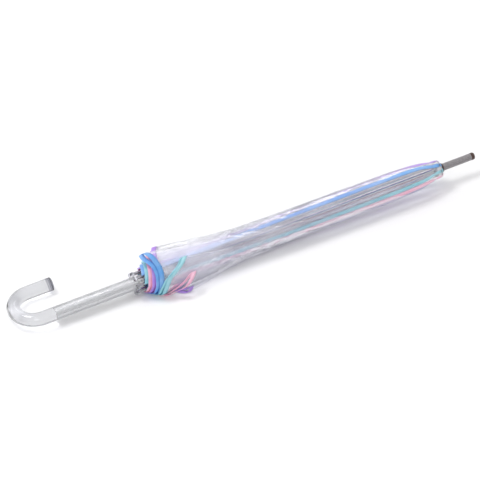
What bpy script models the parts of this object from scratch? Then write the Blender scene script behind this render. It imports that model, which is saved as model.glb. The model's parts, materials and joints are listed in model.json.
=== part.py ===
"""Children's stick umbrella, folded and lying on its side.

Every piece is modelled in the umbrella's own frame: +Z runs up the shaft to the ferrule, the
crown's pivot ring lies in Z = 0, and the ribs hang down -Z. "Down" below is a distance from the
pivot ring towards the handle. Rib angles are counted from +X, which faces up when the umbrella
lies on the floor, towards +Y, its near side. The assembly empty lays the whole on the floor.
"""

from math import asin, atan2, cos, exp, pi, radians, sin

import bmesh
import bpy
from mathutils import Matrix, Vector

MM = 0.001
GAP = 0.3 * MM  # between pieces that touch

# canopy frame
RIB_COUNT = 8
RIB_STEP = 2 * pi / RIB_COUNT
FIRST_RIB = radians(18)
OPEN_ANGLE = radians(50)
PIVOT_R = 8 * MM
RIB_LENGTH = 449 * MM
RIB_HALF = 1.3 * MM
RIB_HALF_WIDE = 1.2 * MM
RIB_BOW = 9.5 * MM
RIB_BOW_SETTLES = 20 * MM
RIB_TUCK = 4.6 * MM
RIB_TUCK_FROM = 190 * MM
RIB_TUCK_TO = 434 * MM
EYE_R = 1.6 * MM
EYE_HALF = 0.7 * MM
HOLE_R = 0.8 * MM
WIRE_R = 0.5 * MM
TIP_R = 3.2 * MM
TIP_DOWN = 452 * MM
SOCKET_R = 1.3 * MM

# stretchers: the joint on the rib is half way between the crown's pivots and the runner's
STRETCHER_DOWN = 200 * MM
STRETCHER_R = 14 * MM
RUNNER_DOWN = 2 * STRETCHER_DOWN
HOOK_REACH = 16 * MM

# shaft and handle
SHAFT_R = 4 * MM
SHAFT_BORE_R = 3.4 * MM
SHAFT_TOP = 50 * MM
SHAFT_DOWN = 566 * MM
BORE_R = SHAFT_R + GAP
HUB_R = 5.8 * MM
CROWN_R = 11.5 * MM
CROWN_HALF = 3.5 * MM
SLOT_WIDE = 2.0 * MM
HANDLE_R = 9.2 * MM
LINER_R = 6.2 * MM  # the bright tube between the shaft and the handle
HANDLE_TOP_DOWN = 450 * MM
HANDLE_STRAIGHT = 132 * MM
CROOK_R = 28 * MM
CROOK_RETURN = 36 * MM
CROOK_ANGLE = radians(264.4)
TILT = radians(1.235)

# catches, in line with the runner's keyway, half way between two ribs
KEY_ANGLE = FIRST_RIB + RIB_STEP / 2
CATCH_HALF = 0.5 * MM
KEY_WIDE = 1.6 * MM
CATCH_LONG = 14 * MM
TOP_CATCH_DOWN = 300 * MM
BOTTOM_CATCH_DOWN = 436 * MM
STOP_PIN_DOWN = 232 * MM
SLEEVE = 47 * MM  # the runner's length below its pivots

# folded canopy: one pleat for each gore, standing clear of its rib
PLEAT_CLEAR = 1.0 * MM
PLEAT_THICK = 0.6 * MM
PLEAT_NEAR = 1.5 * MM
PLEAT_ARC = radians(26)
PLEAT_TOP_DOWN = 22 * MM
PLEAT_HEM_DOWN = 424 * MM
HEM_FLARE = 7.5 * MM
HEM_FLARE_DOWN = 391 * MM
HEM_FLARE_LONG = 52 * MM

COLOURS = {
    "steel": ((0.62, 0.62, 0.64), 0.28, 1.0),
    "grey_enamel": ((0.26, 0.24, 0.25), 0.35, 0.6),
    "white_plastic": ((0.86, 0.86, 0.84), 0.4, 0.0),
    "clear_plastic": ((0.80, 0.82, 0.85), 0.1, 0.0),
    "clear_acrylic": ((0.86, 0.87, 0.90), 0.05, 0.0),
    "dark_brown": ((0.09, 0.05, 0.04), 0.45, 0.0),
    "clear_film": ((0.82, 0.83, 0.88), 0.15, 0.0),
}


def clear_scene():
    for old in list(bpy.data.objects):
        bpy.data.objects.remove(old, do_unlink=True)


def material(name):
    found = bpy.data.materials.get(name)
    if found:
        return found
    made = bpy.data.materials.new(name)
    made.use_nodes = True
    colour, roughness, metallic = COLOURS[name]
    shader = made.node_tree.nodes["Principled BSDF"]
    shader.inputs["Base Color"].default_value = (*colour, 1)
    shader.inputs["Roughness"].default_value = roughness
    shader.inputs["Metallic"].default_value = metallic
    return made


def empty(name, parent=None, matrix=Matrix()):
    made = bpy.data.objects.new(name, None)
    made.empty_display_size = 0.02
    bpy.context.collection.objects.link(made)
    made.parent = parent
    made.matrix_local = matrix
    return made


def add(name, mesh, look, parent, matrix=Matrix()):
    made = bpy.data.objects.new(name, mesh)
    bpy.context.collection.objects.link(made)
    made.parent = parent
    made.matrix_local = matrix
    if not mesh.materials:
        mesh.materials.append(material(look))
    return made


def finished(name, bm, sharp=35):
    """Turns a bmesh into a mesh whose faces point out."""
    bmesh.ops.recalc_face_normals(bm, faces=bm.faces)
    mesh = bpy.data.meshes.new(name)
    bm.to_mesh(mesh)
    bm.free()
    mesh.shade_smooth()
    mesh.set_sharp_from_angle(angle=radians(sharp))
    return mesh


def rings_mesh(name, rings, closed=False):
    """A skin over rings of equally many points, with flat ends unless it closes on itself."""
    bm = bmesh.new()
    rows = [[bm.verts.new(p) for p in ring] for ring in rings]
    pairs = list(zip(rows, rows[1:]))
    if closed:
        pairs.append((rows[-1], rows[0]))
    for low, high in pairs:
        for i in range(len(low)):
            j = (i + 1) % len(low)
            bm.faces.new((low[i], low[j], high[j], high[i]))
    if not closed:
        bm.faces.new(rows[0])
        bm.faces.new(rows[-1])
    return finished(name, bm)


def turned(name, outline, steps, closed=True):
    """Turns (radius, z) points about Z. An open outline starts and ends on the axis."""
    angles = [2 * pi * k / steps for k in range(steps)]
    if closed:
        rings = [[(r * cos(a), r * sin(a), z) for a in angles] for r, z in outline]
        return rings_mesh(name, rings, closed=True)
    bm = bmesh.new()
    rows = [[bm.verts.new((r * cos(a), r * sin(a), z)) for a in angles] for r, z in outline[1:-1]]
    for low, high in zip(rows, rows[1:]):
        for i in range(steps):
            j = (i + 1) % steps
            bm.faces.new((low[i], low[j], high[j], high[i]))
    for row, (_, z) in ((rows[0], outline[0]), (rows[-1], outline[-1])):
        pole = bm.verts.new((0, 0, z))
        for i in range(steps):
            bm.faces.new((row[i], row[(i + 1) % steps], pole))
    return finished(name, bm)


def box(size, centre):
    bm = bmesh.new()
    bmesh.ops.create_cube(bm, size=1)
    bmesh.ops.scale(bm, vec=size, verts=bm.verts)
    bmesh.ops.translate(bm, vec=centre, verts=bm.verts)
    return finished("box", bm)


def rod_across(radius, length, centre, steps=12):
    """A round rod along Y."""
    rings = []
    for y in (-length / 2, length / 2):
        turns = [2 * pi * (k + 0.5) / steps for k in range(steps)]
        rings.append([(centre[0] + radius * cos(a), y, centre[1] + radius * sin(a)) for a in turns])
    return rings_mesh("rod", rings)


def bar(name, stations):
    """A bar down -Z from eight-sided sections: (down, inner x, outer x, half width)."""
    rings = []
    for down, inner, outer, wide in stations:
        cut = min(0.28 * (outer - inner), 0.45 * wide)
        corners = [(outer, wide - cut), (outer - cut, wide), (inner + cut, wide), (inner, wide - cut)]
        ring = corners + [(x, -y) for x, y in reversed(corners)]
        rings.append([(x, y, -down) for x, y in ring])
    return rings_mesh(name, rings)


def carved(name, mesh, steps):
    """Applies (operation, mesh, matrix) Boolean steps and returns the resulting mesh."""
    body = bpy.data.objects.new(name, mesh)
    bpy.context.collection.objects.link(body)
    tools = []
    for operation, shape, matrix in steps:
        tool = bpy.data.objects.new("tool", shape)
        bpy.context.collection.objects.link(tool)
        tool.matrix_world = matrix
        cut = body.modifiers.new(operation, "BOOLEAN")
        cut.operation = operation
        cut.solver = "EXACT"
        cut.object = tool
        tools.append(tool)
    graph = bpy.context.evaluated_depsgraph_get()
    result = bpy.data.meshes.new_from_object(body.evaluated_get(graph))
    result.name = name
    for used in (*tools, body):
        bpy.data.objects.remove(used, do_unlink=True)
    result.materials.clear()
    result.shade_smooth()
    result.set_sharp_from_angle(angle=radians(35))
    return result


def turn(angle):
    return Matrix.Rotation(angle, 4, "Z")


def shift(x, y, z):
    return Matrix.Translation((x, y, z))


def rib_angle(index):
    return FIRST_RIB + index * RIB_STEP


def smooth(low, high, value):
    t = min(1, max(0, (value - low) / (high - low)))
    return t * t * (3 - 2 * t)


def rib_r(down):
    """Radius of a folded rib's centre line: it bows out of the crown and tucks in at the tip."""
    bow = RIB_BOW * (1 - exp(-max(0, down) / RIB_BOW_SETTLES))
    return PIVOT_R + bow - RIB_TUCK * smooth(RIB_TUCK_FROM, RIB_TUCK_TO, down)


def rib_mesh():
    """An eye for the crown wire, a bowed bar with an ear for the stretcher, and a round pin."""
    stations = []
    for part in (-0.98, -0.7, 0, 0.9):
        half = EYE_R * (1 - min(0, part) ** 2) ** 0.5
        middle = rib_r(part * EYE_R)
        stations.append((part * EYE_R, middle - half, middle + half, EYE_HALF))
    downs = [7, 14, 24, 38, 60, 100, 150, 195, 240, 290, 340, 385, 415, 433]
    for down in downs:
        middle = rib_r(down * MM)
        wide = EYE_HALF if down == downs[0] else RIB_HALF_WIDE
        stations.append((down * MM, middle - RIB_HALF, middle + RIB_HALF, wide))
    pin = SOCKET_R - GAP
    for down in (RIB_TUCK_TO + 1 * MM, RIB_LENGTH):
        stations.append((down, rib_r(down) - pin, rib_r(down) + pin, pin))
    stations = [(d, inner - PIVOT_R, outer - PIVOT_R, wide) for d, inner, outer, wide in stations]
    ear_r = STRETCHER_R - PIVOT_R
    top = rib_r(STRETCHER_DOWN) - PIVOT_R
    ear_rings = []
    for y in (-EYE_HALF, EYE_HALF):
        round_end = [(pi + pi * k / 6) for k in range(7)]
        ring = [(ear_r + 1.7 * MM * sin(a), -STRETCHER_DOWN + 1.7 * MM * cos(a)) for a in round_end]
        ring = [(top, -STRETCHER_DOWN - 1.7 * MM)] + ring + [(top, -STRETCHER_DOWN + 1.7 * MM)]
        ear_rings.append([(x, y, z) for x, z in ring])
    ear = rings_mesh("ear", ear_rings)
    eye_hole = rod_across(HOLE_R, 8 * MM, (0, 0))
    ear_hole = rod_across(HOLE_R, 8 * MM, (ear_r, -STRETCHER_DOWN))
    steps = [("UNION", ear, Matrix())]
    steps += [("DIFFERENCE", hole, Matrix()) for hole in (eye_hole, ear_hole)]
    return carved("rib", bar("rib", stations), steps)


def rib_tip_mesh():
    """A ball end with a stem, pushed over the rib's pin. Z = 0 is the ball's centre."""
    stem = 2.2 * MM
    socket = 12 * MM
    neck = asin(stem / TIP_R)
    outline = [(0, 2.6 * MM), (SOCKET_R, 2.6 * MM), (SOCKET_R, socket), (stem, socket)]
    for k in range(6):
        a = neck + (pi * 0.93 - neck) * k / 5
        outline.append((TIP_R * sin(a), TIP_R * cos(a)))
    outline.append((0, -TIP_R))
    return turned("rib_tip", outline, 12, closed=False)


def rivet_mesh():
    """A pin with two heads, along Z."""
    inside, outside, head = 2.0 * MM, 2.5 * MM, 1.1 * MM
    outline = [(0, outside), (head * 0.8, outside), (head, inside), (WIRE_R, inside)]
    outline += [(r, -z) for r, z in reversed(outline)]
    return turned("rivet", outline, 10, closed=False)


def stretcher_mesh():
    """Forked over the rib's ear at Z = 0, hooked over the runner's wire at the other end."""
    long = (STRETCHER_DOWN**2 + (STRETCHER_R - PIVOT_R) ** 2) ** 0.5
    fork, thick, fork_wide = 1.8 * MM, 1.1 * MM, 1.8 * MM
    stations = [(fork * d, -fork * h, fork * h, fork_wide) for d, h in ((-0.95, 0.4), (-0.6, 0.8))]
    stations += [(d, -fork, fork, fork_wide) for d in (0, 5 * MM)]
    stations += [(d, -thick, thick, 1.2 * MM) for d in (9 * MM, 60 * MM, 120 * MM, long - 22 * MM)]
    over, under, lip = 2.2 * MM, 0.9 * MM, -0.6 * MM
    stations += [(long - HOOK_REACH, under, over, EYE_HALF), (long + 0.8 * MM, under, over, EYE_HALF)]
    stations += [(long + 0.9 * MM, lip, over, EYE_HALF), (long + 1.7 * MM, lip, over * 0.8, EYE_HALF)]
    slot = box((8 * MM, SLOT_WIDE, 5 * MM), (0, 0, 0))
    hole = rod_across(HOLE_R, 8 * MM, (0, 0))
    steps = [("DIFFERENCE", slot, Matrix()), ("DIFFERENCE", hole, Matrix())]
    return carved("stretcher", bar("stretcher", stations), steps)


def pleat_mesh(flare):
    """A thin folded pleat beside its rib, clear of it, in the frame of the rib's angle."""
    rings = []
    count = 12
    for k in range(count):
        down = PLEAT_TOP_DOWN + (PLEAT_HEM_DOWN - PLEAT_TOP_DOWN) * k / (count - 1)
        bulge = flare * exp(-(((down - HEM_FLARE_DOWN) / HEM_FLARE_LONG) ** 2))
        inner = rib_r(down) + RIB_HALF + PLEAT_CLEAR + bulge
        near, far = -PLEAT_NEAR, -inner * sin(PLEAT_ARC) / cos(PLEAT_ARC)
        outer = inner + PLEAT_THICK
        middle = (near + far) / 2
        ring = [(inner, near), (inner, middle), (inner, far), (outer, far), (outer, middle), (outer, near)]
        rings.append([(x, y, -down) for x, y in ring])
    return rings_mesh("pleat", rings)


def slot_cutters(angles, wide, high, inner, outer):
    """Radial slots, open outwards, through a hub at Z = 0."""
    cutters = []
    for angle in angles:
        shape = box((outer - inner, wide, high), ((outer + inner) / 2, 0, 0))
        cutters.append(("DIFFERENCE", shape, turn(angle)))
    return cutters


def notched_hub(name, outline, wire_groove, keyway):
    """A hub on the shaft with one slot for each rib or stretcher and a groove for its wire."""
    angles = [rib_angle(i) for i in range(RIB_COUNT)]
    cutters = slot_cutters(angles, SLOT_WIDE, 14 * MM, HUB_R, 16 * MM)
    if keyway:
        cutters += slot_cutters([KEY_ANGLE], KEY_WIDE, 130 * MM, 3 * MM, 16 * MM)
    low, high = wire_groove
    inner, outer = PIVOT_R - HOLE_R, PIVOT_R + HOLE_R
    ring = [(inner, high), (inner, low), (outer, low), (outer, high)]
    cutters.append(("DIFFERENCE", turned("groove", ring, 32), Matrix()))
    return carved(name, turned(name, outline, 32), cutters)


def wire_ring_mesh():
    sides, steps = 6, 40
    turns = [2 * pi * k / sides for k in range(sides)]
    outline = [(PIVOT_R + WIRE_R * cos(t), WIRE_R * sin(t)) for t in turns]
    return turned("wire_ring", outline, steps)


def tube_mesh(name, inner, outer, low, high, steps=24):
    return turned(name, [(inner, low), (outer, low), (outer, high), (inner, high)], steps)


def build_shaft(root):
    tube = tube_mesh("shaft_tube", SHAFT_BORE_R, SHAFT_R, -SHAFT_DOWN, SHAFT_TOP)
    slot = (8 * MM, 2 * CATCH_HALF + 2 * GAP, CATCH_LONG + 2 * GAP)
    cuts = []
    for down in (TOP_CATCH_DOWN, BOTTOM_CATCH_DOWN):
        cuts.append(("DIFFERENCE", box(slot, (4 * MM, 0, -down)), turn(KEY_ANGLE)))
    hole = rod_across(1.3 * MM, 12 * MM, (0, -STOP_PIN_DOWN))
    cuts.append(("DIFFERENCE", hole, Matrix()))
    add("shaft_tube", carved("shaft_tube", tube, cuts), "steel", root)
    add("runner_stop_pin", rod_across(1.0 * MM, 9.8 * MM, (0, -STOP_PIN_DOWN)), "steel", root)


def build_crown(root):
    outline = [(BORE_R, -CROWN_HALF), (CROWN_R - 1 * MM, -CROWN_HALF), (CROWN_R, -CROWN_HALF + 1 * MM)]
    outline += [(CROWN_R, CROWN_HALF - 1 * MM), (CROWN_R - 1 * MM, CROWN_HALF), (BORE_R, CROWN_HALF)]
    groove = (-HOLE_R, CROWN_HALF + 1 * MM)
    add("crown_notch", notched_hub("crown_notch", outline, groove, False), "white_plastic", root)
    add("crown_wire", wire_ring_mesh(), "steel", root)
    base = CROWN_HALF + GAP
    washer = tube_mesh("canopy_washer", BORE_R, 9.5 * MM, base, base + 1.2 * MM)
    add("canopy_washer", washer, "white_plastic", root)
    ring = base + 1.2 * MM + GAP
    outline = [(BORE_R, ring), (7.2 * MM, ring), (6.8 * MM, ring + 2.5 * MM), (5.8 * MM, ring + 4 * MM)]
    outline.append((BORE_R, ring + 4 * MM))
    add("ferrule_base_ring", turned("ferrule_base_ring", outline, 24), "dark_brown", root)
    low, high = ring + 4 * MM + GAP, 53 * MM
    outline = [(BORE_R, low), (4.9 * MM, low), (4.9 * MM, high), (BORE_R, high)]
    add("ferrule", turned("ferrule", outline, 24), "grey_enamel", root)
    seat = high + GAP
    plug = SHAFT_BORE_R - GAP
    outline = [(0, SHAFT_TOP - 6 * MM), (plug, SHAFT_TOP - 6 * MM), (plug, seat), (5.1 * MM, seat)]
    outline += [(5.1 * MM, seat + 3 * MM), (4.3 * MM, seat + 4.7 * MM), (0, seat + 4.7 * MM)]
    add("ferrule_cap", turned("ferrule_cap", outline, 24, closed=False), "dark_brown", root)


def build_runner(root):
    """Its pivot plane is Z = 0 of the runner's empty; the sleeve runs towards the handle."""
    slide = empty("runner_axis", root, shift(0, 0, -RUNNER_DOWN))
    flange, sleeve, grip = 11 * MM, 5.9 * MM, 8.4 * MM
    outline = [(BORE_R, 4 * MM), (BORE_R, -SLEEVE), (grip - 1 * MM, -SLEEVE), (grip, 1 * MM - SLEEVE)]
    outline += [(grip, 6 * MM - SLEEVE), (sleeve, 8 * MM - SLEEVE), (sleeve, -4 * MM)]
    outline += [(flange - 1 * MM, -4 * MM), (flange, -3 * MM), (flange, 3 * MM)]
    outline.append((flange - 1 * MM, 4 * MM))
    groove = (-HOLE_R, 5 * MM)
    add("runner", notched_hub("runner", outline, groove, True), "white_plastic", slide)
    add("runner_wire", wire_ring_mesh(), "steel", slide)


def catch_mesh():
    """A blade whose sloped nose stands out of the shaft; it is pressed in along -X."""
    half = CATCH_LONG / 2
    inner, low_nose, nose = 0.4 * MM, 4.6 * MM, 6.6 * MM
    side = [(inner, -half), (low_nose, -half), (nose, half - 3 * MM), (nose, half), (inner, half)]
    return rings_mesh("catch", [[(x, y, z) for x, z in side] for y in (-CATCH_HALF, CATCH_HALF)])


def build_catches(root):
    mesh = catch_mesh()
    for name, down in (("top_catch", TOP_CATCH_DOWN), ("bottom_catch", BOTTOM_CATCH_DOWN)):
        slide = empty(name + "_axis", root, turn(KEY_ANGLE) @ shift(0, 0, -down))
        add(name, mesh, "steel", slide)


def handle_mesh():
    """A solid crook with a blind bore for the shaft and its liner in its straight end."""
    sides = 20
    turns = [2 * pi * k / sides for k in range(sides)]
    path = [(0, -HANDLE_TOP_DOWN, 0), (0, -HANDLE_TOP_DOWN - HANDLE_STRAIGHT / 2, 0)]
    bend = -HANDLE_TOP_DOWN - HANDLE_STRAIGHT
    for k in range(13):
        a = pi * k / 12
        path.append((CROOK_R - CROOK_R * cos(a), bend - CROOK_R * sin(a), a))
    path.append((2 * CROOK_R, bend + CROOK_RETURN, pi))

    def ring(radius, along, z, heading):
        points = []
        for t in turns:
            side = radius * cos(t)
            points.append((along + side * cos(heading), radius * sin(t), z + side * sin(heading)))
        return points

    bore_end = -SHAFT_DOWN - GAP
    rings = [ring(LINER_R + GAP, 0, z, 0) for z in (bore_end, -HANDLE_TOP_DOWN)]
    edge = 0.6 * MM
    rings.append(ring(HANDLE_R - edge, 0, -HANDLE_TOP_DOWN, 0))
    rings.append(ring(HANDLE_R, 0, -HANDLE_TOP_DOWN - edge, 0))
    rings += [ring(HANDLE_R, *point) for point in path[1:-1]]
    end_along, end_z, end_heading = path[-1]
    rings.append(ring(HANDLE_R, end_along, end_z - edge, end_heading))
    rings.append(ring(HANDLE_R - edge, end_along, end_z, end_heading))
    return rings_mesh("handle_crook", rings)


def build_canopy_frame(root):
    rib, tip, rivet, stretcher = rib_mesh(), rib_tip_mesh(), rivet_mesh(), stretcher_mesh()
    pleats = {True: pleat_mesh(HEM_FLARE), False: pleat_mesh(0)}
    to_joint = shift(STRETCHER_R - PIVOT_R, 0, -STRETCHER_DOWN)
    lean = Matrix.Rotation(atan2(STRETCHER_R - PIVOT_R, STRETCHER_DOWN), 4, "Y")
    folded_back = Matrix.Rotation(OPEN_ANGLE, 4, "Y")
    for index in range(RIB_COUNT):
        angle = rib_angle(index)
        number = str(index + 1)
        pivot = empty("rib_axis_" + number, root, turn(angle) @ shift(PIVOT_R, 0, 0))
        add("rib_" + number, rib, "steel", pivot)
        tip_place = shift(rib_r(TIP_DOWN) - PIVOT_R, 0, -TIP_DOWN)
        add("rib_tip_" + number, tip, "clear_plastic", pivot, tip_place)
        rivet_place = to_joint @ Matrix.Rotation(pi / 2, 4, "X")
        add("rib_rivet_" + number, rivet, "steel", pivot, rivet_place)
        joint = empty("stretcher_axis_" + number, pivot, to_joint)
        add("stretcher_" + number, stretcher, "steel", joint, lean)
        gore_axis = folded_back @ shift(-PIVOT_R, 0, 0)
        hinge = empty("gore_axis_" + number, pivot, gore_axis)
        on_floor = cos(angle) < -0.4
        in_pleat = gore_axis.inverted() @ shift(-PIVOT_R, 0, 0)
        add("gore_" + number, pleats[not on_floor], "clear_film", hinge, in_pleat)


def lay_on_floor(root):
    """Lays the umbrella down and puts the middle of its underside at the world's origin."""
    lying = Matrix((Vector((0, 0, 1)), Vector((0, -1, 0)), Vector((1, 0, 0)))).to_4x4()
    root.matrix_world = Matrix.Rotation(-TILT, 4, "Y") @ lying
    bpy.context.view_layer.update()
    points = []
    for part in bpy.data.objects:
        if part.type == "MESH":
            points += [part.matrix_world @ vertex.co for vertex in part.data.vertices]
    low = Vector([min(p[axis] for p in points) for axis in range(3)])
    high = Vector([max(p[axis] for p in points) for axis in range(3)])
    foot = Vector(((low.x + high.x) / 2, (low.y + high.y) / 2, low.z))
    root.matrix_world = Matrix.Translation(-foot) @ root.matrix_world


def main():
    clear_scene()
    root = empty("assembly")
    build_shaft(root)
    build_crown(root)
    build_runner(root)
    build_catches(root)
    add("handle_crook", handle_mesh(), "clear_acrylic", root, turn(CROOK_ANGLE))
    liner = tube_mesh("handle_liner", BORE_R, LINER_R, -SHAFT_DOWN, -HANDLE_TOP_DOWN)
    add("handle_liner", liner, "steel", root)
    build_canopy_frame(root)
    lay_on_floor(root)


main()
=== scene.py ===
"""The looks of the child's clear umbrella: film, seam tapes, hem binding, acrylic and metal."""

import json
from math import cos, pi, radians, sin

import bmesh
import bpy
import numpy as np
from mathutils import Matrix, Vector


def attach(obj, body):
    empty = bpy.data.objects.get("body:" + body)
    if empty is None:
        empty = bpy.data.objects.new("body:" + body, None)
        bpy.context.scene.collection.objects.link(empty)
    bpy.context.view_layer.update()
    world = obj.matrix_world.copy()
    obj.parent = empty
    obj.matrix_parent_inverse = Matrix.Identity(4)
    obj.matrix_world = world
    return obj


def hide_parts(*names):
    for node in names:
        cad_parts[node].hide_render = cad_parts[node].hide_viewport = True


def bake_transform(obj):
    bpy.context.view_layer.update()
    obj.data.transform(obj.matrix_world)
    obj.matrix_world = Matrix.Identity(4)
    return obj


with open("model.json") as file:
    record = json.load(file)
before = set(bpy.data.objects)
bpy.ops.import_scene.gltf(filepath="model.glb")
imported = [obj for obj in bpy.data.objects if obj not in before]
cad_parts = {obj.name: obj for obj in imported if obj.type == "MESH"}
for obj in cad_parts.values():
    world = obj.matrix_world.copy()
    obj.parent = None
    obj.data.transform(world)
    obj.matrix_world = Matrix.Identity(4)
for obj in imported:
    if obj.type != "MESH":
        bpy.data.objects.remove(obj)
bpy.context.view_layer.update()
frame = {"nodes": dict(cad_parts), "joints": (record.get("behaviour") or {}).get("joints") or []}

MM = 0.001
GORES = 8
STEP = 2 * pi / GORES

# The folded ribs, as the CAD has them. "Down" is along a rib, from the crown's pivots.
FIRST_RIB = radians(18)  # angle of rib 1 from straight up, towards the near side
OPEN_ANGLE = radians(50)
PIVOT_R = 8 * MM
RIB_HALF = 1.3 * MM
RIB_BOW = 9.5 * MM
RIB_BOW_DOWN = 20 * MM
RIB_TUCK = 4.6 * MM
RIB_TUCK_FROM = 190 * MM
RIB_TUCK_TO = 434 * MM

# The film's size and its fold.
TOP_DOWN = -1.5 * MM
HEM_DOWN = 443 * MM
FILM_STAND = 0.4 * MM  # the inmost layer's distance from the ribs
TAPE_STAND = 0.5 * MM
HALF_APEX_SLOPE = 0.28  # how fast a gore's level lines recede from the ribs
HEM_SLOPE = 0.10  # added to that slope at the hem
WRAP_LIMIT = radians(242)  # the most that a gore winds round the bundle
WRAP_LEAST = 0.02
WRAP_RATE = 1.25
WRAP_STAND = 3 * MM  # the wound film's mean distance from the ribs' centre lines
TIGHT_GAP = 0.40  # mm between layers near the crown
LOOSE_GAP = 1.75  # mm added to it at the hem
FOLD_BLEND = radians(14)  # half the turn over which a gore passes from inner to outer layer
FOLD_ROUND = radians(3)
OUTER_DROP = 0.42  # layers by which the outer film lies closer, and the turn that it takes
OUTER_DROP_TURN = radians(25)
LOOP_SPREAD = radians(36)
# How far back the fold of a gore's hem is pulled, and how far its loop stands open.
LOOSE_LOOPS = {
    4: (-16 * MM, 5.0 * MM),
    5: (30 * MM, 4.5 * MM),
    6: (36 * MM, 5.0 * MM),
    7: (30 * MM, 8.0 * MM),
}
PLAIN_LOOP = (10 * MM, 1.5 * MM)
# Where the film is gathered round the crown.
NECK_R = 12.3 * MM
NECK_SLOPE = 0.11

# Waves in the folds: height, folds round the bundle, radians over WAVE_LENGTH, phase.
WAVES = [(0.55, 3, 9, 0.6), (0.30, 7, -14, 0.0), (0.22, 11, 31, 2.0)]
WAVE_MEAN = 1.07  # the sum of the heights, so that no fold dips under the ribs
WAVE_LENGTH = 0.46
CRUMPLE_DOWN = 300 * MM
CRUMPLE_SPREAD = 75 * MM

# How far the loose hem opens out, in mm: all round, more at the top of the far side, and in
# the near side's low bulge.
FLARE_ALL = 5
FLARE_TOP = 5.5
FLARE_TURN = radians(45)
BULGE = 9
BULGE_ANGLE = radians(104)
BULGE_SPREAD = radians(34)
FULL_FLARE_LAYERS = 6

# How the film settles on the floor, with inner layers above outer ones.
FLOOR_GAP = 0.5 * MM
FLOOR_LAYER = 0.22 * MM
FLOOR_LAYERS = 6
FLOOR_SOFT = 0.5 * MM

GORE_ROWS, GORE_COLUMNS = 84, 110
ROW_CROWDING = 0.92
BINDING_COLUMNS = 190
BAND_WIDE = 6.5 * MM
TAPE_ROWS = 90
TAPE_HALF = {1: 2.5 * MM, 2: 3.8 * MM, 7: 3.4 * MM}  # half widths that differ from the rest
PLAIN_TAPE_HALF = 3.0 * MM
TAPE_SHIFT = {0: -12, 1: 9, 2: -15, 7: 6}  # degrees that a seam has slipped round its rib
TAPE_LOW = 0.9 * MM  # the lowest height of a tape over the floor

# Over the crown, from the washer to above the open film's edge, in mm.
CROWN_SHARES = [0, 0.2, 0.38, 0.55, 0.72, 0.86, 1]
CROWN_RADII = [7.4, 8.8, 9.9, 10.8, 11.5, 12.0, 12.25]
CROWN_HEIGHTS = [5.6, 5.5, 5.2, 4.6, 3.9, 3.3, 2.85]
CROWN_GATHER = 0.25 * MM

HANDLE_R = 9.2 * MM
HANDLE_TOP = 450 * MM
HANDLE_BEND = 582 * MM
HANDLE_EDGE = 0.9 * MM
CROOK_R = 28 * MM
CROOK_RETURN = 36 * MM
CROOK_ANGLE = radians(264.4)
BORE_R = 6.15 * MM  # less than the liner's 6.2 mm, because an air gap would hide the liner
BORE_END = 566.3 * MM
BORE_CHAMFER = 0.3 * MM
BORE_TIP = 0.4 * MM
CUT_END_REACH = HANDLE_R + 1.5 * MM

HUES = {
    "blue": (0.13, 0.38, 0.80),
    "teal": (0.25, 0.62, 0.72),
    "pink": (0.90, 0.45, 0.62),
    "purple": (0.44, 0.24, 0.76),
}
HUE_ORDER = ["blue", "teal", "pink", "purple"]

FLOOR_HALF = 6.0
FLOOR_Z = -0.0004
SKY_STOPS = ((0.0, 0.30), (0.12, 0.36), (0.3, 0.72), (0.62, 1.0), (0.85, 1.0))
SKY_STRENGTH = 0.80
CAMERA_PLACE = (-1.2609, -2.4647, 2.7751)
CAMERA_YAW = 26.96
CAMERA_PITCH = 45.04
CAMERA_LENS = 220.8
LAMP_TINT = 0.93  # how much of a lamp's light clear acrylic lets through

JOINTS = {j["name"]: j for j in frame["joints"]}


def umbrella_frame():
    """The umbrella's own frame: +Z up the shaft, +X up from the floor, crown pivots in Z = 0."""
    axis = Vector(JOINTS["runner_slide"]["axis"]).normalized()
    pivots = [Vector(JOINTS[f"rib_{k + 1}_hinge"]["pos_m"]) for k in range(GORES)]
    centre = sum(pivots, Vector()) / GORES
    to_first = (pivots[0] - centre).normalized()
    up = Matrix.Rotation(-FIRST_RIB, 3, axis) @ to_first
    side = axis.cross(up)
    turn = Matrix((up, side, axis)).transposed()
    return Matrix.Translation(centre) @ turn.to_4x4()


LOCAL = umbrella_frame()
LOCAL_NP = np.array(LOCAL)
HOME_NP = np.linalg.inv(LOCAL_NP)


def to_world(x, y, z):
    points = np.stack(np.broadcast_arrays(x, y, z), axis=-1).astype(float)
    return points @ LOCAL_NP[:3, :3].T + LOCAL_NP[:3, 3]


def to_world_round(radius, angle, z):
    return to_world(radius * np.cos(angle), radius * np.sin(angle), z)


def smooth(low, high, value):
    t = np.clip((value - low) / (high - low), 0, 1)
    return t * t * (3 - 2 * t)


# ---------------------------------------------------------------- materials


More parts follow.
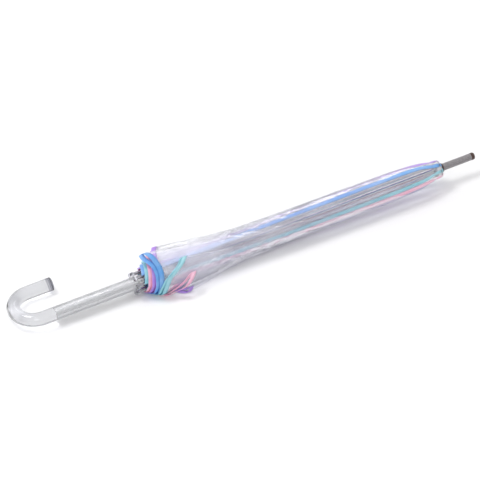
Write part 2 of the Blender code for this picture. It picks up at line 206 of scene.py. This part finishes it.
class Nodes:
    """A small helper that adds and links shader nodes."""

    def __init__(self, name):
        self.material = bpy.data.materials.new(name)
        self.material.use_nodes = True
        self.tree = self.material.node_tree
        self.shader = self.tree.nodes["Principled BSDF"]
        self.output = self.tree.nodes["Material Output"]

    def add(self, kind, **settings):
        node = self.tree.nodes.new(kind)
        for key, value in settings.items():
            setattr(node, key, value)
        return node

    def link(self, source, target):
        self.tree.links.new(source, target)

    def set(self, **values):
        for key, value in values.items():
            self.shader.inputs[key.replace("_", " ")].default_value = value

    def drive(self, **sources):
        """Links sources to the Principled shader's inputs."""
        for key, source in sources.items():
            self.link(source, self.shader.inputs[key.replace("_", " ")])

    def coordinates(self, scale=(1, 1, 1)):
        place = self.add("ShaderNodeTexCoord")
        mapping = self.add("ShaderNodeMapping")
        mapping.inputs["Scale"].default_value = scale
        self.link(place.outputs["Object"], mapping.inputs["Vector"])
        return mapping.outputs["Vector"]

    def noise(self, scale, detail=3, stretch=(1, 1, 1)):
        node = self.add("ShaderNodeTexNoise")
        node.inputs["Scale"].default_value = scale
        node.inputs["Detail"].default_value = detail
        self.link(self.coordinates(stretch), node.inputs["Vector"])
        return node.outputs["Fac"]

    def spread(self, value, low, high, start=0.3, end=0.7):
        """Maps start to end onto low to high."""
        node = self.add("ShaderNodeMapRange")
        numbers = {"From Min": start, "From Max": end, "To Min": low, "To Max": high}
        for key, number in numbers.items():
            node.inputs[key].default_value = number
        self.link(value, node.inputs["Value"])
        return node.outputs["Result"]

    def ramp(self, value, *stops):
        node = self.add("ShaderNodeValToRGB")
        elements = node.color_ramp.elements
        for k, (place, colour) in enumerate(stops):
            stop = elements[k] if k < 2 else elements.new(place)
            stop.position = place
            stop.color = (*colour, 1)
        self.link(value, node.inputs["Fac"])
        return node.outputs["Color"]

    def math(self, operation, first, second):
        node = self.add("ShaderNodeMath", operation=operation)
        self.link(first, node.inputs[0])
        self.link(second, node.inputs[1])
        return node.outputs[0]

    def bump(self, height, strength, distance):
        node = self.add("ShaderNodeBump")
        node.inputs["Strength"].default_value = strength
        node.inputs["Distance"].default_value = distance
        self.link(height, node.inputs["Height"])
        return node.outputs["Normal"]

    def transparent(self, colour):
        node = self.add("ShaderNodeBsdfTransparent")
        node.inputs["Color"].default_value = (*colour, 1)
        return node.outputs[0]

    def mix(self, share, first, second):
        node = self.add("ShaderNodeMixShader")
        self.link(share, node.inputs[0])
        self.link(first, node.inputs[1])
        self.link(second, node.inputs[2])
        return node.outputs[0]

    def finish_clear(self, surface, lamp_colour):
        """Makes surface the material's, and lets lamps shine through it."""
        lamp_ray = self.add("ShaderNodeLightPath").outputs["Is Shadow Ray"]
        through = self.mix(lamp_ray, surface, self.transparent(lamp_colour))
        self.link(through, self.output.inputs["Surface"])


def metal(name, low, high, rough):
    """Drawn metal: long fine lines, with the tone varying a little along them."""
    n = Nodes(name)
    n.set(Metallic=1.0, Anisotropic=0.3)
    lines = n.noise(90, 4, (1, 60, 60))
    n.drive(
        Base_Color=n.ramp(lines, (0.3, low), (0.7, high)),
        Roughness=n.spread(lines, rough * 0.7, rough * 1.4),
        Normal=n.bump(lines, 0.12, 0.0002),
    )
    return n.material


def plastic(name, low, high, rough):
    """Moulded plastic: a fine orange-peel skin and a slightly uneven tone."""
    n = Nodes(name)
    tone = n.noise(40, 3)
    peel = n.noise(2080, 2)
    n.drive(
        Base_Color=n.ramp(tone, (0.35, low), (0.65, high)),
        Roughness=n.spread(tone, rough * 0.8, rough * 1.25),
        Normal=n.bump(peel, 0.15, 0.0001),
    )
    return n.material


def enamel():
    """The ferrule's grey enamel, faintly speckled."""
    n = Nodes("grey_enamel_speckled")
    n.set(Metallic=0.35)
    speckle = n.noise(2600, 2)
    n.drive(
        Base_Color=n.ramp(speckle, (0.38, (0.13, 0.12, 0.125)), (0.6, (0.42, 0.40, 0.41))),
        Roughness=n.spread(speckle, 0.3, 0.5),
        Normal=n.bump(speckle, 0.2, 0.0001),
    )
    return n.material


def clear_solid(name, tint, rough):
    """Clear acrylic with faint swirls, which lets lamps light what is behind it."""
    n = Nodes(name)
    n.set(Base_Color=(*tint, 1), IOR=1.49, Transmission_Weight=1.0)
    swirl = n.noise(30, 2, (1, 3, 3))
    n.drive(
        Roughness=n.spread(swirl, rough * 0.6, rough * 1.4),
        Normal=n.bump(swirl, 0.03, 0.0004),
    )
    n.finish_clear(n.shader.outputs[0], [LAMP_TINT * c for c in tint])
    return n.material


def film_material():
    """Clear PVC film: a thin haze with soft creases, glossy where it turns edge on."""
    n = Nodes("clear_film_creased")
    creases = n.noise(55, 5, (0.35, 1.6, 1.6))
    place = n.add("ShaderNodeSeparateXYZ")
    n.link(n.coordinates(), place.inputs[0])
    along = place.outputs["X"]  # metres, growing from the handle to the ferrule

    # the haze is strongest in the creases and near the hem
    worn = n.spread(along, 2.4, 1.0, -0.10, 0.06)
    haze = n.math("MULTIPLY", n.spread(creases, 0.010, 0.055), worn)
    n.set(Roughness=0.5, Specular_IOR_Level=0.0)
    n.drive(Base_Color=n.ramp(creases, (0.3, (0.78, 0.78, 0.86)), (0.7, (0.97, 0.97, 0.99))))
    milky = n.mix(haze, n.transparent((0.990, 0.990, 0.996)), n.shader.outputs[0])

    # small crinkles come on top of the creases, between the hem and the bundle's middle
    begins = n.spread(along, 0.0, 1.0, -0.12, -0.06)
    ends = n.spread(along, 1.0, 0.0, 0.0, 0.10)
    crinkles = n.noise(130, 4, (0.8, 1.3, 1.3))
    amount = n.math("MULTIPLY", n.math("MULTIPLY", begins, ends), crinkles)
    relief = n.bump(n.math("ADD", creases, amount), 0.55, 0.0035)

    gloss = n.add("ShaderNodeBsdfGlossy")
    gloss.inputs["Color"].default_value = (0.96, 0.96, 1.0, 1)
    gloss.inputs["Roughness"].default_value = 0.16
    n.link(relief, gloss.inputs["Normal"])
    edge = n.add("ShaderNodeLayerWeight")
    edge.inputs["Blend"].default_value = 0.22
    n.link(relief, edge.inputs["Normal"])
    shine = n.spread(edge.outputs["Fresnel"], 0.02, 0.55, 0.0, 1.0)
    n.finish_clear(n.mix(shine, milky, gloss.outputs[0]), (0.972, 0.972, 0.98))
    return n.material


def tape_material(name, hue):
    """Coloured PVC tape: satin, with a fine woven emboss and a paler worn tone in places."""
    n = Nodes(name)
    pale = tuple(0.72 * c + 0.28 for c in hue)
    tone = n.noise(45, 4, (0.4, 1, 1))
    weave = n.noise(2400, 1)
    n.drive(
        Base_Color=n.ramp(tone, (0.36, hue), (0.74, pale)),
        Roughness=n.spread(tone, 0.28, 0.42),
        Normal=n.bump(weave, 0.25, 0.0001),
    )
    return n.material


# ---------------------------------------------------------------- meshes


def mesh_piece(name, points, faces, look):
    mesh = bpy.data.meshes.new(name)
    mesh.from_pydata([tuple(p) for p in points.reshape(-1, 3)], [], faces)
    mesh.validate()
    mesh.shade_smooth()
    mesh.materials.append(look)
    piece = bpy.data.objects.new(name, mesh)
    bpy.context.scene.collection.objects.link(piece)
    return piece


def grid_faces(rows, columns, around=False):
    """Faces of a grid of points, row after row; around closes each row on itself."""
    faces = []
    for r in range(rows - 1):
        here, below = r * columns, (r + 1) * columns
        for c in range(columns if around else columns - 1):
            d = (c + 1) % columns
            faces.append((here + c, here + d, below + d, below + c))
    return faces


def tube_faces(rows, columns):
    """A closed skin over rings of points, with flat ends."""
    faces = grid_faces(rows, columns, around=True)
    faces.append(tuple(reversed(range(columns))))
    faces.append(tuple((rows - 1) * columns + c for c in range(columns)))
    return faces


# ---------------------------------------------------------------- the folded canopy


def rib_r(down):
    """Radius of a folded rib's centre line, as the CAD ribs have it."""
    bow = RIB_BOW * (1 - np.exp(-np.maximum(0, down) / RIB_BOW_DOWN))
    return PIVOT_R + bow - RIB_TUCK * smooth(RIB_TUCK_FROM, RIB_TUCK_TO, down)


def rib_angle(index):
    return FIRST_RIB + index * STEP


def layer_gap(down):
    """How far the wrapped layers stand apart: tight along the shaft, loose at the hem."""
    return (TIGHT_GAP + LOOSE_GAP * smooth(210 * MM, 420 * MM, down)) * MM


def ripple(angle, down):
    """Folds that all layers share, so that none cuts through the next."""
    deep = 0.35 + 1.3 * smooth(150 * MM, 440 * MM, down)
    waves = WAVE_MEAN
    for height, folds, twist, phase in WAVES:
        waves = waves + height * np.sin(folds * angle + twist * down / WAVE_LENGTH + phase)
    crumple = np.exp(-(((down - CRUMPLE_DOWN) / CRUMPLE_SPREAD) ** 2))
    crumple = crumple * np.sin(9 * angle + 420 * down + 2 * np.sin(160 * down))
    crumple = crumple * np.sin(5 * angle - 260 * down + 1)
    return MM * (0.7 * deep * waves + 0.9 * crumple) * smooth(10 * MM, 80 * MM, down)


def flare(angle, down, layer):
    """How the loose hem opens out: most at the top of the far side and low on the near side."""
    from_bulge = np.angle(np.exp(1j * (angle - BULGE_ANGLE)))
    bulge = np.exp(-((from_bulge / BULGE_SPREAD) ** 2))
    most = (FLARE_ALL + FLARE_TOP * np.cos(angle + FLARE_TURN) + BULGE * bulge) * MM
    outer = np.clip(layer / FULL_FLARE_LAYERS, 0, 1.3) ** 1.5
    return most * smooth(285 * MM, 440 * MM, down) * outer


def open_radius(down):
    """Distance from the open umbrella's axis of a point on the film over a rib."""
    stand = rib_r(down) + RIB_HALF - PIVOT_R
    return PIVOT_R + stand * cos(OPEN_ANGLE) + down * sin(OPEN_ANGLE)


def wrap_limit(down):
    """The angle that a gore's fold reaches round the bundle from its own rib."""
    width = STEP * open_radius(down)
    natural = (width / (rib_r(down) + WRAP_STAND) - STEP) / 2
    reached = WRAP_LIMIT * (1 - np.exp(-natural / WRAP_LIMIT * WRAP_RATE))
    return np.maximum(WRAP_LEAST, reached)


def neck_r(down):
    """The least radius of the film where it is gathered round the crown."""
    return (NECK_R + NECK_SLOPE * (down - TOP_DOWN)) * (1 - smooth(6 * MM, 16 * MM, down))


def settle(points, layer):
    """Keeps the film off the floor with a soft bend, inner layers above outer ones."""
    floor = FLOOR_GAP + FLOOR_LAYER * np.clip(FLOOR_LAYERS - layer, 0, FLOOR_LAYERS + 1)
    height = np.clip((points[..., 2] - floor) / FLOOR_SOFT, -60, 60)
    soft = floor + FLOOR_SOFT * np.log1p(np.exp(height))
    points[..., 2] = np.where(height > 30, points[..., 2], soft)


def film_point(gore, across, along, lift=0.0, reach=0.0):
    """A gore's point at rest in the world, and its share of the gore's unfolding.

    across runs from 0 on the gore's own rib to 1 on the next, along from 0 at the crown to 1 at
    the hem; lift stands the point off the film, and reach takes it past the hem."""
    across, along = np.broadcast_arrays(np.asarray(across, float), np.asarray(along, float))
    base = TOP_DOWN + (HEM_DOWN - TOP_DOWN) * along

    # the gore winds out to its fold round the bundle, then back to the next rib
    limit = wrap_limit(base)
    travel = across * (2 * limit + STEP)
    outward = travel < limit
    fold = smooth(limit - FOLD_BLEND, limit + FOLD_BLEND, travel)
    wrap = limit - np.sqrt((travel - limit) ** 2 + FOLD_ROUND**2) + FOLD_ROUND
    wrap = np.where(outward, np.minimum(wrap, travel), np.maximum(wrap, 2 * limit - travel))
    inner = wrap / STEP
    outer = (wrap + STEP) / STEP - OUTER_DROP * smooth(0, OUTER_DROP_TURN, wrap + STEP)
    layer = inner * (1 - fold) + outer * fold
    angle = rib_angle(gore) - wrap

    # the film's level lines rise towards the fold, which the hem's loops pull further
    from_rib = np.where(outward, wrap, wrap + STEP) * (rib_r(base) + RIB_HALF + FILM_STAND)
    slope = HALF_APEX_SLOPE + HEM_SLOPE * along
    pulled, stands = LOOSE_LOOPS.get(gore, PLAIN_LOOP)
    near_fold = smooth(0.72, 1.0, along) * np.exp(-(((travel - limit) / LOOP_SPREAD) ** 2))
    down = base - slope * from_rib * smooth(0.0, 0.35, along) - pulled * near_fold + reach
    exposed = np.clip((travel - limit) / STEP, 0, 1)
    loop = stands * np.sin(pi * exposed) ** 2 * smooth(0.70, 1.0, along)

    radius = rib_r(down) + RIB_HALF + FILM_STAND + layer_gap(down) * layer + lift
    radius = radius + ripple(angle, down) + flare(angle, down, layer) + loop
    radius = np.maximum(radius, neck_r(down))
    points = to_world_round(radius, angle, -down)
    settle(points, layer)
    return points, unfold_share(gore, points, across)


def unfold_share(gore, points, across):
    """How much of the gore's unfolding each point takes, so that the open film spreads evenly."""
    local = points @ HOME_NP[:3, :3].T + HOME_NP[:3, 3]
    a = rib_angle(gore)
    outward = local[..., 0] * cos(a) + local[..., 1] * sin(a) - PIVOT_R
    aside = -local[..., 0] * sin(a) + local[..., 1] * cos(a)
    reach = PIVOT_R + outward * cos(OPEN_ANGLE) - local[..., 2] * sin(OPEN_ANGLE)
    already = np.arctan2(aside, np.maximum(reach, 1 * MM))
    return np.clip((np.clip(across, 0, 1) * STEP - already) / STEP, 0, 1)


def bend_with_gore(piece):
    """Bakes the piece's placement into its mesh."""
    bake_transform(piece)


def build_gore(gore, look):
    along = np.linspace(0, 1, GORE_ROWS)[:, None] ** ROW_CROWDING
    across = np.linspace(0, 1, GORE_COLUMNS)[None, :]
    points, shares = film_point(gore, across, along)
    faces = grid_faces(GORE_ROWS, GORE_COLUMNS)
    piece = mesh_piece(f"film_gore_{gore + 1}", points, faces, look)
    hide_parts(f"gore_{gore + 1}")
    bend_with_gore(piece)
    return piece


def build_binding(gore, look):
    """The coloured binding folded over a gore's hem, from rib to rib."""
    across = np.linspace(0.0, 1.0, BINDING_COLUMNS)
    # reach past the hem, and mm off the film
    section = [
        (-BAND_WIDE, 0.30), (-BAND_WIDE * 0.5, 0.36), (0, 0.36), (0.5 * MM, 0.2),
        (0.5 * MM, -0.2), (0, -0.36), (-BAND_WIDE * 0.5, -0.36), (-BAND_WIDE, -0.30),
    ]
    rings, shares = [], []
    for reach, lift in section:
        points, share = film_point(gore, across, 1.0, lift * MM, reach)
        rings.append(points)
        shares.append(share)
    points = np.stack(rings, axis=1)
    faces = tube_faces(BINDING_COLUMNS, len(section))
    piece = mesh_piece(f"hem_binding_{gore + 1}", points, faces, look)
    bend_with_gore(piece)
    return piece


def build_tape(rib, look):
    """The coloured tape over a seam, down the whole rib."""
    downs = np.linspace(TOP_DOWN, HEM_DOWN - BAND_WIDE, TAPE_ROWS)[:, None]
    half = TAPE_HALF.get(rib, PLAIN_TAPE_HALF) * (0.86 + 0.14 * smooth(0, 40 * MM, downs))
    offsets = np.array([-1, -0.55, 0, 0.55, 1, 1, 0.55, 0, -0.55, -1])[None, :]
    lifts = [0.05, 0.3, 0.34, 0.3, 0.05, -0.08, -0.08, -0.08, -0.08, -0.08]
    slip = radians(TAPE_SHIFT.get(rib, 0)) * smooth(0, 30 * MM, downs)
    radius = np.maximum(rib_r(downs) + RIB_HALF + TAPE_STAND, neck_r(downs))
    angle = rib_angle(rib) + slip + offsets * half / radius
    radius = radius + ripple(angle, downs) + np.array(lifts)[None, :] * MM
    points = to_world_round(radius, angle, -downs)
    points[..., 2] = np.maximum(points[..., 2], TAPE_LOW)
    faces = tube_faces(TAPE_ROWS, offsets.shape[1])
    piece = mesh_piece(f"seam_tape_{rib + 1}", points, faces, look)
    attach(piece, f"rib_{rib + 1}")


def crown_profile(share):
    """(radius, z) over the crown, from the washer to above the open film's edge."""
    radius = np.interp(share, CROWN_SHARES, CROWN_RADII)
    z = np.interp(share, CROWN_SHARES, CROWN_HEIGHTS)
    return radius * MM, z * MM


def build_crown_cover(look):
    """The gathered film over the crown."""
    rows, columns = 12, 64
    share = np.linspace(0, 1, rows)[:, None]
    angle = np.linspace(0, 2 * pi, columns, endpoint=False)[None, :]
    radius, z = crown_profile(share)
    radius = radius + CROWN_GATHER * np.sin(GORES * (angle - FIRST_RIB)) * share
    points = to_world_round(radius, angle, z)
    faces = grid_faces(rows, columns, around=True)
    cover = mesh_piece("crown_cover", points, faces, look)
    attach(cover, "frame")
    return cover


def build_crown_tape(rib, look):
    """The end of a seam's tape on the crown cover."""
    rows = 10
    share = np.linspace(0, 1, rows)[:, None]
    offsets = np.array([-1, -0.5, 0, 0.5, 1, 1, 0, -1])[None, :]
    lifts = np.array([0.06, 0.26, 0.3, 0.26, 0.06, 0.02, 0.02, 0.02])[None, :] * MM
    radius, z = crown_profile(share)
    half = (2.7 + 0.35 * share) * MM
    angle = rib_angle(rib) + offsets * half / radius
    points = to_world_round(radius + lifts, angle, z + lifts)
    faces = tube_faces(rows, offsets.shape[1])
    piece = mesh_piece(f"crown_tape_{rib + 1}", points, faces, look)
    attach(piece, "frame")


# ---------------------------------------------------------------- handle


def handle_stations():
    """(offset towards the free arm, z, heading, radius), from the bore's end to the arm's."""
    stations = [
        (0, -BORE_END, 0, BORE_R * 0.2),
        (0, -BORE_END, 0, BORE_R * 0.94),
        (0, -BORE_END + BORE_TIP, 0, BORE_R),
        (0, -HANDLE_TOP - BORE_CHAMFER, 0, BORE_R),
        (0, -HANDLE_TOP, 0, BORE_R + BORE_CHAMFER),
    ]
    quarter = [pi / 2 * k / 4 for k in range(5)]
    for a in quarter:
        z = -HANDLE_TOP - HANDLE_EDGE * (1 - cos(a))
        stations.append((0, z, 0, HANDLE_R - HANDLE_EDGE * (1 - sin(a))))
    for k in range(1, 9):
        stations.append((0, -HANDLE_TOP - (HANDLE_BEND - HANDLE_TOP) * k / 9, 0, HANDLE_R))
    bends = 48
    for k in range(bends + 1):
        a = pi * k / bends
        place = CROOK_R * (1 - cos(a)), -HANDLE_BEND - CROOK_R * sin(a)
        stations.append((*place, a, HANDLE_R))
    for k in range(1, 8):
        z = -HANDLE_BEND + (CROOK_RETURN - HANDLE_EDGE) * k / 8
        stations.append((2 * CROOK_R, z, pi, HANDLE_R))
    for a in quarter:
        z = -HANDLE_BEND + CROOK_RETURN - HANDLE_EDGE * (1 - sin(a))
        stations.append((2 * CROOK_R, z, pi, HANDLE_R - HANDLE_EDGE * (1 - cos(a))))
    return stations


def build_handle(look, cut_end):
    """The acrylic crook, with the shaft's blind bore, rounded ends and a smooth bend."""
    sides = 64
    turns = np.linspace(0, 2 * pi, sides, endpoint=False)
    rings = []
    for aside, z, heading, radius in handle_stations():
        side = radius * np.cos(turns)
        x, y = aside + side * cos(heading), radius * np.sin(turns)
        px = x * cos(CROOK_ANGLE) - y * sin(CROOK_ANGLE)
        py = x * sin(CROOK_ANGLE) + y * cos(CROOK_ANGLE)
        rings.append(to_world(px, py, z + side * sin(heading)))
    faces = tube_faces(len(rings), sides)
    piece = mesh_piece("acrylic_crook", np.concatenate(rings), faces, look)
    bm = bmesh.new()
    bm.from_mesh(piece.data)
    bmesh.ops.recalc_face_normals(bm, faces=bm.faces)
    bm.to_mesh(piece.data)
    bm.free()
    piece.data.set_sharp_from_angle(angle=radians(40))
    # the cut end of the free arm gets a dark tint: painted reflection that stands in for the
    # internal reflection darkening the end face
    piece.data.materials.append(cut_end)
    return_end = Vector(rings[-1].mean(axis=0))
    for face in piece.data.polygons:
        if (face.center - return_end).length < CUT_END_REACH:
            face.material_index = 1
    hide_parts("handle_crook")
    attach(piece, "frame")


# ---------------------------------------------------------------- floor, lights, camera


def build_floor():
    n = Nodes("pale_floor")
    tone = n.noise(3, 2)
    n.drive(Base_Color=n.ramp(tone, (0.3, (0.955, 0.955, 0.96)), (0.7, (0.97, 0.97, 0.97))))
    n.set(Roughness=0.55)
    mesh = bpy.data.meshes.new("floor")
    signs = ((-1, -1), (1, -1), (1, 1), (-1, 1))
    corners = [(FLOOR_HALF * x, FLOOR_HALF * y, FLOOR_Z) for x, y in signs]
    mesh.from_pydata(corners, [], [(0, 1, 2, 3)])
    mesh.materials.append(n.material)
    floor = bpy.data.objects.new("floor", mesh)
    bpy.context.scene.collection.objects.link(floor)


def build_sky():
    """A plain studio dome: dim below, bright above."""
    world = bpy.data.worlds.new("studio")
    world.use_nodes = True
    tree = world.node_tree
    place = tree.nodes.new("ShaderNodeTexCoord")
    split = tree.nodes.new("ShaderNodeSeparateXYZ")
    bands = tree.nodes.new("ShaderNodeValToRGB")
    elements = bands.color_ramp.elements
    for k, (height, grey) in enumerate(SKY_STOPS):
        stop = elements[k] if k < 2 else elements.new(height)
        stop.position = height
        stop.color = (grey, grey, grey * 1.01, 1)
    background = tree.nodes["Background"]
    tree.links.new(place.outputs["Generated"], split.inputs[0])
    tree.links.new(split.outputs["Z"], bands.inputs["Fac"])
    tree.links.new(bands.outputs["Color"], background.inputs["Color"])
    background.inputs["Strength"].default_value = SKY_STRENGTH
    bpy.context.scene.world = world


def area_light(name, place, size, power):
    """A rectangular lamp that faces the umbrella's middle."""
    light = bpy.data.lights.new(name, "AREA")
    light.shape = "RECTANGLE"
    light.size, light.size_y = size
    light.energy = power
    lamp = bpy.data.objects.new(name, light)
    lamp.location = place
    lamp.rotation_euler = (-Vector(place)).to_track_quat("-Z", "Y").to_euler()
    bpy.context.scene.collection.objects.link(lamp)


def build_camera():
    data = bpy.data.cameras.new("camera")
    data.sensor_width = 36
    data.lens = CAMERA_LENS
    data.clip_end = 50
    camera = bpy.data.objects.new("camera", data)
    yaw, pitch = radians(CAMERA_YAW), radians(CAMERA_PITCH)
    look = Vector((sin(yaw) * cos(pitch), cos(yaw) * cos(pitch), -sin(pitch)))
    camera.location = CAMERA_PLACE
    camera.rotation_euler = look.to_track_quat("-Z", "Y").to_euler()
    bpy.context.scene.collection.objects.link(camera)
    bpy.context.scene.camera = camera


def dress_cad_nodes():
    steel = metal("bright_plated_steel", (0.72, 0.72, 0.74), (0.92, 0.92, 0.93), 0.24)
    shaft = metal("polished_shaft", (0.62, 0.62, 0.64), (0.86, 0.86, 0.87), 0.14)
    liner = metal("bright_liner", (0.89, 0.89, 0.90), (0.97, 0.97, 0.97), 0.3)
    spring = metal("spring_steel", (0.36, 0.36, 0.38), (0.55, 0.55, 0.57), 0.28)
    white = plastic("white_moulding", (0.80, 0.80, 0.79), (0.88, 0.88, 0.87), 0.35)
    pearl = plastic("pearl_moulding", (0.56, 0.56, 0.58), (0.66, 0.66, 0.68), 0.35)
    brown = plastic("brown_moulding", (0.055, 0.028, 0.022), (0.11, 0.06, 0.05), 0.42)
    tip = clear_solid("clear_tip", (0.72, 0.72, 0.75), 0.06)
    looks = {
        "shaft_tube": shaft,
        "handle_liner": liner,
        "runner": white,
        "crown_notch": pearl,
        "canopy_washer": pearl,
        "ferrule_cap": brown,
        "ferrule_base_ring": brown,
        "ferrule": enamel(),
        "top_catch": spring,
        "bottom_catch": spring,
        "crown_wire": spring,
        "runner_wire": spring,
    }
    for name, node in frame["nodes"].items():
        look = looks.get(name, tip if name.startswith("rib_tip") else steel)
        if node.material_slots:
            for slot in node.material_slots:
                slot.material = look
        else:
            node.data.materials.append(look)


def main():
    scene = bpy.context.scene
    scene.view_settings.view_transform = "Standard"
    # the film lies many layers deep over the frame
    scene.cycles.transparent_max_bounces = 48
    scene.cycles.max_bounces = 16
    scene.cycles.transmission_bounces = 12
    build_camera()
    build_floor()
    build_sky()
    area_light("key", (-0.9, 0.8, 2.5), (1.0, 0.8), 30)
    area_light("rim", (0.9, 1.8, 1.4), (1.6, 0.3), 3)
    area_light("fill", (-1.0, -1.6, 1.6), (0.8, 0.8), 5)
    dress_cad_nodes()
    film = film_material()
    tapes = {hue: tape_material(f"{hue}_tape", HUES[hue]) for hue in HUE_ORDER}
    for gore in range(GORES):
        hue = tapes[HUE_ORDER[gore % len(HUE_ORDER)]]
        sheet = build_gore(gore, film)
        binding = build_binding(gore, hue)
        build_tape(gore, hue)
        build_crown_tape(gore, hue)
    cover = build_crown_cover(film)
    # dark tint for the cut end: painted reflection, in place of the acrylic's internal reflection
    end_face_painted_reflection = clear_solid("acrylic_end_painted_reflection", (0.30, 0.30, 0.34), 0.05)
    build_handle(clear_solid("clear_acrylic_rod", (0.73, 0.733, 0.75), 0.01), end_face_painted_reflection)


main()
